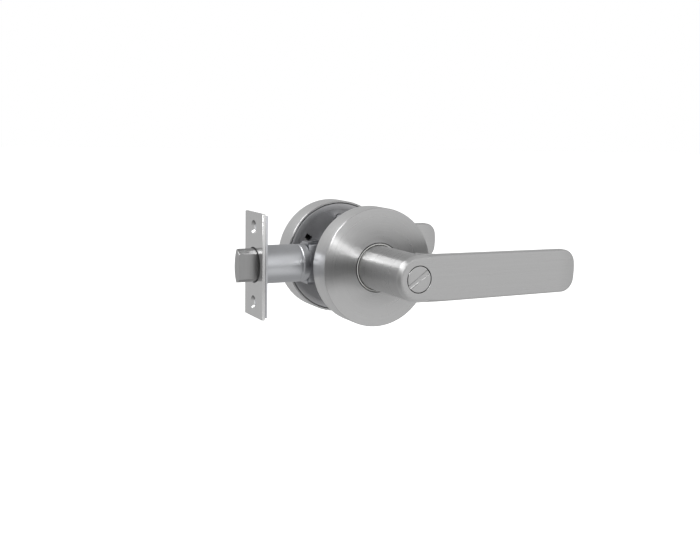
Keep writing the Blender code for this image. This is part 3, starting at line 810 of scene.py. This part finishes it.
def chassis(side, place, sense):
    """Plate and bearing boss, with a slot for the driver's prong and a peg for the return spring."""
    profile = [(BOSS_INNER_R, BOSS_TOP), (BOSS_OUTER_R, BOSS_TOP), (BOSS_OUTER_R, CHASSIS_TOP, 0.0004)]
    profile += [(CHASSIS_R, CHASSIS_TOP), (CHASSIS_R, 0)]
    profile += [(PAD_INNER_R, 0, 0.0001), (PAD_INNER_R, CHASSIS_RECESS, 0.0001)]
    profile += [(CHASSIS_BORE_R, CHASSIS_RECESS), (CHASSIS_BORE_R, CHASSIS_TOP)]
    profile += [(BOSS_INNER_R, CHASSIS_TOP)]
    part = lathe(f"{side}_chassis", profile, place, FINE, looped=True)
    margin = math.radians(7)
    first, last = sense * (PRONG_ANGLE + margin), sense * (PRONG_ANGLE - LEVER_SWEEP - margin)
    combine(part, prism("prong_slot", curved_slot(*PRONG_SLOT, first, last, 32), *THROUGH, place))
    start, end = [(*polar(PEG_CIRCLE_R, sense * PEG_ANGLE), height) for height in PEG_HEIGHTS]
    combine(part, rod("spring_peg", PEG_R, start, end, place, 32, 0.0002), "UNION")
    seat = POST_SEAT if side == "outside" else BOLT_SEAT
    for y in (BOLT_CIRCLE_R, -BOLT_CIRCLE_R):
        combine(part, lathe("screw_seat", seat, place, SMALL, centre=(0, y), radius=0.0))
    if side == "inside":
        margin = math.radians(14)
        start, end = math.radians(-90) - margin, math.radians(-90) + LEVER_SWEEP + margin
        combine(part, prism("lock_pocket", curved_slot(*LOCK_POCKET, start, end, 24), *THROUGH, place))
    finish(part, f"{side}_chassis", "door_set", CASTING)


def grub_screw(side, place, sense):
    """Hexagon-socket set screw with a cup point."""
    start, end = 0.0043, 0.0118
    length = end - start
    core, depth, pitch, neck_r, socket_r = 0.0021, 0.00024, 0.0008, 0.0019, 0.00125
    point = Matrix.Translation((0, -start * sense, GRUB_HEIGHT))
    turn = place @ point @ rotation(90 * sense, "X")
    rings = stack([(0.0009, 0.0004), (0.0014, 0.0), (neck_r, 0.0001)], SMALL)
    rings += thread_rings(core, depth, pitch, 0.0006, length - 0.0003, SMALL)
    rings += stack([(neck_r, length), (0.0016, length)], SMALL)
    rings += [polygon_ring(socket_r, length - down, SMALL, 6) for down in (0.0002, 0.0024)]
    rings += stack([(0.0002, length - 0.0029)], SMALL)
    part = skin(f"{side}_grub_screw", rings, turn)
    finish(part, f"{side}_grub_screw", "levers", ZINC)


def thread_rings(core, depth, pitch, low, high, sides):
    """Rings of a screw thread: the radius rises and falls with height along a helix. The root and the
    crest are flattened, and the thread fades in and out over one pitch."""
    made = []
    rings_per_pitch = 8
    steps = max(2, round((high - low) / pitch * rings_per_pitch))
    share = np.arange(sides) / sides
    for height in np.linspace(low, high, steps + 1):
        phase = (height / pitch - share) % 1.0
        crest = 1 - np.abs(2 * phase - 1)
        fade = min(1.0, (height - low) / pitch, (high - height) / pitch)
        points = ring(1.0, height, sides)
        points[:, :2] *= (core + depth * fade * np.clip(1.6 * crest - 0.3, 0, 1))[:, None]
        made.append(points)
    return made


def retaining_ring(side, place):
    """Open snap ring, a little narrower at its ends."""
    low, high = GROOVE[0] + 0.0002, GROOVE[1] - 0.0002
    gap = math.asin(0.0020 / 0.0096)
    inner, outer_r, narrower = GROOVE_R + GAP, 0.0108, 0.0006
    rings = []
    for t in np.linspace(0, 1, 73):
        angle = math.pi / 2 + gap + t * 2 * (math.pi - gap)
        near_end = min(t, 1 - t)
        outer = outer_r - narrower * math.exp(-near_end * 30)
        section = [(inner, low), (outer, low), (outer, high), (inner, high)]
        section = rounded(section, 0.0001, looped=True)
        rings.append(np.array([(*polar(radius, angle), height) for radius, height in section]))
    part = skin(f"{side}_retaining_ring", rings, place)
    finish(part, f"{side}_retaining_ring", "levers", SPRING)


def return_spring(side, place, sense):
    """Torsion coil round the boss, with a leg on the peg and a leg on the driver's prong."""
    coil_r, bend_r, leg_r, wire_r = 0.0184, 0.0199, 0.0246, 0.0006
    bottom, pitch, turns, per_turn = 0.0036, 0.0018, 3, 60
    top = bottom + pitch * turns
    start = PEG_ANGLE + math.radians(6)
    end = PRONG_ANGLE - math.radians(7) - 2 * math.pi * turns

    def at(radius, angle, height):
        return (*polar(radius, sense * angle), height)

    points = [at(leg_r, start, bottom), at(bend_r, start, bottom)]
    for t in np.linspace(0, 1, per_turn * turns + 1)[1:-1]:
        points.append(at(coil_r, start + (end - start) * t, bottom + (top - bottom) * t))
    points += [at(bend_r, end, top), at(leg_r, end, top)]
    part = wire(f"{side}_return_spring", points, wire_r, place)
    finish(part, f"{side}_return_spring", "door_set", SPRING, 60)


# Release disc, turn button, rod, pin and spindle

def button_profile():
    """Half a section of the disc, with a socket for the rod in its back."""
    back = DISC_SEAT + GAP
    socket_r, socket_floor = 0.0022, 0.0549
    profile = [(socket_r, socket_floor), (socket_r, back, 0), (DISC_R, back)]
    return [*profile, (DISC_R, DISC_FACE, 0.00025), (0.0005, DISC_FACE, 0)]


def release_disc():
    part = lathe("release_disc", button_profile(), OUTSIDE, MEDIUM)
    reach = Vector((math.cos(SLOT_ANGLE), math.sin(SLOT_ANGLE), 0)) * 0.009
    middle = Vector((0, 0, LEVER_FACE - SLOT_DEPTH + SLOT_R))
    combine(part, rod("coin_slot", SLOT_R, middle - reach, middle + reach, OUTSIDE, MEDIUM))
    finish(part, "release_disc", "privacy_turn", LEVER)


def turn_button():
    part = lathe("turn_button", button_profile(), INSIDE, MEDIUM)
    half_x, half_y = 0.0060, 0.0019
    outline = arc((-half_x + half_y, 0), half_y, math.pi / 2, 3 * math.pi / 2, 16)
    outline += arc((half_x - half_y, 0), half_y, -math.pi / 2, math.pi / 2, 16)
    grip = prism("turn_grip", outline, LEVER_FACE - 0.0008, GRIP_TOP, INSIDE, 0.0006)
    combine(part, grip, "UNION")
    finish(part, "turn_button", "privacy_turn", LEVER)


def lock_pin():
    low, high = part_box("lock_pin")
    radius = (high.x - low.x) / 2
    place = Matrix.Translation(((low.x + high.x) / 2, (low.y + high.y) / 2, low.z))
    length = high.z - low.z
    pole_r, edge = 0.0003, 0.0005
    profile = [(pole_r, 0, 0), (radius, 0, edge), (radius, length, edge), (pole_r, length, 0)]
    part = lathe("lock_pin", profile, place, 32)
    finish(part, "lock_pin", "lock_pin", ZINC)


def spindle():
    """Square bar with soft corners, bored through for the turn rod."""
    low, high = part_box("spindle")
    place = Matrix.Translation((0, low.y, 0)) @ rotation(-90, "X")
    half, length, bore = high.x, high.y - low.y, 0.0023
    edge, bore_edge, corner_share = 0.0004, 0.0002, 1.33

    def outer(size, height):
        points = square_ring(size, height, MEDIUM)
        reach = np.linalg.norm(points[:, :2], axis=1)
        points[:, :2] *= np.minimum(1.0, size * corner_share / reach)[:, None]
        return points

    rings = [outer(half - edge, 0), outer(half, edge)]
    rings += [outer(half, length - edge), outer(half - edge, length)]
    inner = [(bore + bore_edge, length), (bore, length - bore_edge), (bore, bore_edge)]
    rings += stack([*inner, (bore + bore_edge, 0)], MEDIUM)
    part = skin("spindle", rings, place, looped=True)
    start, end = (0, -0.0005, LOCK_HEIGHT), (0, -0.0060, LOCK_HEIGHT)
    combine(part, rod("pin_hole", LOCK_HOLE_R, start, end, INSIDE))
    finish(part, "spindle", "levers", ZINC)


# Screws and posts

def cross_recess(part, place, low, high, centre):
    """A cross for a screwdriver, narrowing towards its floor."""
    half_x, half_y, floor_x, floor_y = 0.0019, 0.0005, 0.45, 0.6
    for turn in (0, 90):
        arm = box("recess", (-half_x, -half_y, low), (half_x, half_y, high))
        for vertex in arm.data.vertices:
            if vertex.co.z < (low + high) / 2:
                vertex.co.x *= floor_x
                vertex.co.y *= floor_y
        arm.data.transform(place @ Matrix.Translation((*centre, 0)) @ rotation(turn, "Z"))
        combine(part, arm)


def threaded_post(name, y):
    """Post with a riveted head, bored for the through bolt."""
    top = CHASSIS_TOP - 0.0001
    head_r, head_low, barrel_r, bore_r, end = 0.0050, 0.0015, 0.0039, 0.0024, -0.0260
    profile = [(0.0006, top - 0.0006), (0.0012, top), (head_r, top), (head_r, head_low)]
    profile += [(barrel_r, head_low), (barrel_r, end, 0.0005), (bore_r, end, 0.0003)]
    profile += [(bore_r, -0.0110, 0), (0.0005, -0.0104, 0)]
    part = lathe(name, profile, OUTSIDE, SMALL, centre=(0, y))
    finish(part, name, "door_set", ZINC)


def through_bolt(name, y):
    """Countersunk machine screw with a cross recess."""
    core, depth, pitch, neck_r, head_r, top = 0.0017, 0.00038, 0.0008, 0.0021, 0.0042, 0.0023
    rings = stack([(0.0006, -0.0222), (0.0014, -0.0219)], SMALL)
    rings += thread_rings(core, depth, pitch, -0.0215, -0.0040, SMALL)
    head = [(neck_r, -0.0038), (neck_r, 0.0006), (head_r, 0.0021), (head_r, top), (0.0002, top)]
    rings += stack(rounded(head, 0.0001), SMALL)
    part = skin(name, rings, INSIDE @ Matrix.Translation((0, y, 0)))
    cross_recess(part, INSIDE, 0.0009, 0.0030, (0, y))
    finish(part, name, "door_set", ZINC)


# Latch

def latch_plates():
    """Faceplate with two countersunk screw holes, and the backing plate with clearance holes."""
    face = box("latch_faceplate", PLATE_LOW, PLATE_HIGH, edge=0.00015)
    back = box("latch_backplate", BACK_LOW, BACK_HIGH, edge=0.00012)
    front, rear = PLATE_LOW.x, PLATE_HIGH.x
    before, behind = rear - OVERSHOOT, BACK_HIGH.x + OVERSHOOT
    start, end = (0, 0, front - OVERSHOOT), (0, 0, rear + OVERSHOOT)
    combine(face, rod("bolt_hole", BOLT_HOLE_R, start, end, LATCH_LINE, FINE))
    combine(back, rod("tube_hole", TUBE_R + GAP, (0, 0, before), (0, 0, behind), LATCH_LINE, FINE))
    cone = front + COUNTERSINK_R - SCREW_HOLE_R
    sink = [(COUNTERSINK_R + OVERSHOOT, front - OVERSHOOT), (SCREW_HOLE_R, cone)]
    sink += [(SCREW_HOLE_R, rear + OVERSHOOT)]
    for x in (-SCREW_HOLE_Z, SCREW_HOLE_Z):
        combine(face, lathe("countersink", sink, LATCH_LINE, MEDIUM, centre=(x, 0), radius=0.0))
        combine(back, rod("clearance", CLEARANCE_HOLE_R, (x, 0, before), (x, 0, behind), LATCH_LINE))
    finish(face, "latch_faceplate", "door_set", PLATE, 20)
    finish(back, "latch_backplate", "door_set", ZINC)


def latch_tube():
    """Tube with a closed end that the drawbar's rod passes through, and a rolled groove near it."""
    start = TUBE_LOW.x
    rod_hole_r, groove_r = 0.0026, TUBE_R - 0.0003
    profile = [(rod_hole_r, TUBE_END), (TUBE_R, TUBE_END, 0.0009), (TUBE_R, TUBE_END - 0.0040, 0)]
    profile += [(groove_r, TUBE_END - 0.0044, 0), (groove_r, TUBE_END - 0.0052, 0)]
    profile += [(TUBE_R, TUBE_END - 0.0056, 0), (TUBE_R, start), (TUBE_BORE_R, start)]
    profile += [(TUBE_BORE_R, TUBE_WALL), (rod_hole_r, TUBE_WALL)]
    part = lathe("latch_tube", profile, LATCH_LINE, FINE, looped=True, radius=0.00015)
    finish(part, "latch_tube", "door_set", ZINC)


def latch_bolt():
    """Round bar with two flats and a crowned nose, beveled on the inside and eased on the outside."""
    profile = [(0.0002, BOLT_TAIL, 0), (BOLT_R, BOLT_TAIL, 0.0006)]
    for a in np.linspace(math.asin(BOLT_R / NOSE_CROWN_R), 0.01, 12):
        profile.append((NOSE_CROWN_R * math.sin(a), BOLT_NOSE + NOSE_CROWN_R * (1 - math.cos(a))))
    part = lathe("latch_bolt", profile, LATCH_LINE, FINE, radius=0.0005)
    latch = Matrix.Translation((0, MID, 0))
    clear = 0.0120
    for low, high in ((-clear, -BOLT_HALF_W), (BOLT_HALF_W, clear)):
        start, end = (BOLT_NOSE - OVERSHOOT, low, -clear), (BOLT_TAIL + OVERSHOOT, high, clear)
        combine(part, box("bolt_flat", start, end, latch))
    place = latch @ Matrix.Translation((BOLT_NOSE, -0.0030, 0)) @ rotation(45, "Z")
    combine(part, box("bolt_bevel", (-0.014, 0, -clear), (0.014, clear, clear), place))
    place = latch @ Matrix.Translation((BOLT_NOSE + 0.0013, -BOLT_HALF_W, 0)) @ rotation(-50, "Z")
    combine(part, box("bolt_corner", (-0.010, -clear, -clear), (0.010, 0, clear), place))
    start, end = (0, 0, BOLT_TAIL + 0.001), (0, 0, BOLT_TAIL - 0.0060)
    combine(part, rod("rod_hole", 0.0023, start, end, LATCH_LINE, 32))
    soft_edges(part, 0.00035, 3, 24)
    finish(part, "latch_bolt", "bolt", BOLT, 40)


def latch_hub():
    """Square-holed hub with two fingers that pull the drawbar."""
    low, high = MID - CASE_OUT - GAP, MID + CASE_OUT + GAP
    edge = 0.0002
    barrel = [(HUB_R - edge, low), (HUB_R, low + edge), (HUB_R, high - edge), (HUB_R - edge, high)]
    rings = [square_ring(SOCKET_HALF, low, MEDIUM), *stack(barrel, MEDIUM)]
    rings += [square_ring(SOCKET_HALF, high, MEDIUM)]
    place = OUTSIDE @ Matrix.Scale(-1, 4, (0, 0, 1))
    part = skin("latch_hub", rings, place, looped=True)
    root, tip, wide, half_thick = 0.0052, 0.0126, 0.0040, 0.0021
    for up in (1, -1):
        low, high = sorted((0.0, wide * up))
        turn = OUTSIDE @ Matrix.Rotation(up * (math.pi / 2 + FINGER_LEAN), 4, "Z")
        start, end = (root, low, -MID - half_thick), (tip, high, -MID + half_thick)
        combine(part, box("finger", start, end, turn, 0.0003), "UNION")
    finish(part, "latch_hub", "levers", ZINC)


def latch_case():
    """Two side plates that carry the hub, and the two rivets that hold them apart."""
    left, right = CASE_LOW.x, CASE_HIGH.x
    half_h, corner = CASE_HIGH.z, 0.0050
    outline = [(left, half_h), (left, -half_h)]
    outline += arc((right - corner, corner - half_h), corner, -math.pi / 2, 0, 16)
    outline += arc((right - corner, half_h - corner), corner, 0, math.pi / 2, 16)
    for name, low, high in (("outside", CASE_IN, CASE_OUT), ("inside", -CASE_OUT, -CASE_IN)):
        plate = prism(f"latch_case_{name}", outline, -MID + low, -MID + high, OUTSIDE, 0.00015)
        below, above = -MID + low - OVERSHOOT, -MID + high + OVERSHOOT
        combine(plate, rod("hub_hole", HUB_R + GAP, (0, 0, below), (0, 0, above), OUTSIDE, MEDIUM))
        for y in (RIVET[1], -RIVET[1]):
            start, end = (RIVET[0], y, below), (RIVET[0], y, above)
            combine(plate, rod("rivet_hole", RIVET_R + GAP, start, end, OUTSIDE))
        finish(plate, f"latch_case_{name}", "door_set", ZINC)
    inner, outer, head = CASE_IN - GAP, CASE_OUT + GAP, CASE_OUT + GAP + 0.0006
    head_r, shoulder_r = 0.0026, 0.0024
    side = [(0.0004, head, 0), (head_r, head, 0.0008), (head_r, outer, 0.0001)]
    side += [(RIVET_R, outer, 0.0001), (RIVET_R, inner, 0.0001), (shoulder_r, inner)]
    profile = side + [(p[0], -p[1], *p[2:]) for p in reversed(side)]
    for place, y in (("upper", RIVET[1]), ("lower", -RIVET[1])):
        middle = OUTSIDE @ Matrix.Translation((0, 0, -MID))
        part = lathe(f"latch_case_rivet_{place}", profile, middle, SMALL, centre=(RIVET[0], y))
        finish(part, f"latch_case_rivet_{place}", "door_set", ZINC)


def latch_spring():
    """Compression coil behind the bolt."""
    low, high = BOLT_TAIL + 0.0005, TUBE_WALL - 0.0005
    coil_r, wire_r, coils, per_coil = 0.0054, 0.00035, 4, 40
    points = []
    for t in np.linspace(0, 1, coils * per_coil + 1):
        y, z = polar(coil_r, coils * 2 * math.pi * t)
        points.append((low + (high - low) * t, MID + y, z))
    part = wire("latch_spring", points, wire_r)
    finish(part, "latch_spring", "door_set", SPRING, 60)
    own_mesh(part)


def kept_nodes():
    """CAD pieces whose shape is already right. They get soft edges and a finished material."""
    for node in ("outside_spring_driver", "inside_spring_driver", "latch_drawbar", "turn_rod"):
        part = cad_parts[node]
        part.data.materials.clear()
        part.data.materials.append(ZINC)
        soft_edges(part, 0.00015, 2, 40)


for side, place, sense in (("outside", OUTSIDE, 1), ("inside", INSIDE, -1)):
    lever(side, place, sense)
    rose_cover(side, place)
    neck_bush(side, place)
    chassis(side, place, sense)
    grub_screw(side, place, sense)
    retaining_ring(side, place)
    return_spring(side, place, sense)
release_disc()
turn_button()
lock_pin()
spindle()
for name, up in (("upper", 1), ("lower", -1)):
    threaded_post(f"outside_post_{name}", BOLT_CIRCLE_R * up)
    through_bolt(f"through_bolt_{name}", -BOLT_CIRCLE_R * up)
latch_plates()
latch_tube()
latch_bolt()
latch_hub()
latch_case()
latch_spring()
kept_nodes()


# Studio

# How bright the surround is over and under the dark wedge, behind the set, and in the wedge
ABOVE = 0.90
BELOW = 0.82
BEHIND = 0.44
DARK = 0.02

# Where the wedge's point is, and the slopes where it starts, is darkest and ends
WEDGE_X = 0.451
WEDGE_Z = -0.158
WEDGE_SLOPES = (-0.40, -0.08, 0.16, 0.38)
WEDGE_LEAST_RUN = 0.02

# The front's direction, and how far round from it the surround fades to what is behind
FRONT_X = 0.45
FRONT_Y = -0.90
FRONT_FADES = (0.42, 0.76)


def grey(value):
    return (value, value, value, 1)


def studio_world():
    """White to the camera. What the metal reflects is softer, with a dark wedge low in front that
    opens to the left."""
    world = bpy.data.worlds.new("studio")
    bpy.context.scene.world = world
    world.use_nodes = True
    nodes = Nodes(world.node_tree)
    x, y, z = nodes.split(nodes.add("ShaderNodeTexCoord").outputs["Generated"])
    run = nodes.larger(nodes.minus(WEDGE_X, x), WEDGE_LEAST_RUN)
    slope = nodes.over(nodes.minus(z, WEDGE_Z), run)
    ramp = nodes.add("ShaderNodeValToRGB")
    nodes.feed(ramp.inputs[0], nodes.plus(nodes.times(slope, 0.5), 0.5))
    for _ in range(len(WEDGE_SLOPES) - 2):
        ramp.color_ramp.elements.new(0.5)
    values = (BELOW, DARK, DARK, ABOVE)
    for element, edge, value in zip(ramp.color_ramp.elements, WEDGE_SLOPES, values):
        element.position = 0.5 + 0.5 * edge
        element.color = grey(value)
    facing = nodes.plus(nodes.times(x, FRONT_X), nodes.times(y, FRONT_Y))
    front = nodes.remap(facing, *FRONT_FADES)
    reflected = nodes.mix("RGBA", front, grey(BEHIND), ramp.outputs[0])
    seen = nodes.add("ShaderNodeLightPath").outputs["Is Camera Ray"]
    shown = nodes.mix("RGBA", seen, reflected, grey(1.0))
    nodes.feed(world.node_tree.nodes["Background"].inputs[0], shown)


def strip_light(name, angle, distance, middle_y, width, length, power):
    """A long soft box that lies along Y, at an angle about the Y axis, facing it."""
    data = bpy.data.lights.new(name, "AREA")
    data.shape = "RECTANGLE"
    data.size = width
    data.size_y = length
    data.energy = power
    lamp = add_object(name, data)
    outward = Vector((math.cos(angle), 0, math.sin(angle)))
    facing = Matrix((Vector((0, 1, 0)).cross(outward), (0, 1, 0), outward)).transposed().to_4x4()
    lamp.matrix_world = Matrix.Translation(distance * outward + Vector((0, middle_y, 0))) @ facing
    lamp.visible_camera = False


FLOOR_HALF = 6.0
FLOOR_Z = -0.112


def floor():
    """A wide pale floor, clear of the levers' sweep. The metal reflects the studio and not the floor."""
    low, high = (-FLOOR_HALF, -FLOOR_HALF, FLOOR_Z - 0.013), (FLOOR_HALF, FLOOR_HALF, FLOOR_Z)
    made = box("floor", low, high, edge=0.001)
    pale = Surface("pale_floor", (0.92, 0.92, 0.92), 0.9, metallic=0.0)
    pale.fill(pale.shader, {"Emission Color": grey(1.0), "Emission Strength": 0.75})
    made.data.materials.append(pale.material)
    made.visible_glossy = False
    made.visible_diffuse = False
    made.visible_shadow = False


CAMERA_PLACE = (-0.25146, -0.47042, 0.07605)
CAMERA_AZIMUTH = -27.169
CAMERA_ELEVATION = 9.065
CAMERA_ROLL = 1.252


def camera():
    data = bpy.data.cameras.new("camera")
    data.lens = 50
    data.sensor_width = 36
    data.clip_start = 0.01
    made = add_object("camera", data)
    turn = rotation(CAMERA_AZIMUTH, "Z") @ rotation(90 - CAMERA_ELEVATION, "X")
    made.matrix_world = Matrix.Translation(CAMERA_PLACE) @ turn @ rotation(CAMERA_ROLL, "Z")
    bpy.context.scene.camera = made


studio_world()
strip_light("front_strip", math.radians(132), 0.45, -1.50, 0.10, 1.4, 7.5)
strip_light("side_strip", math.radians(127.5), 0.90, 0.0, 0.44, 0.9, 4.4)
floor()
camera()
bpy.context.scene.view_settings.view_transform = "Standard"
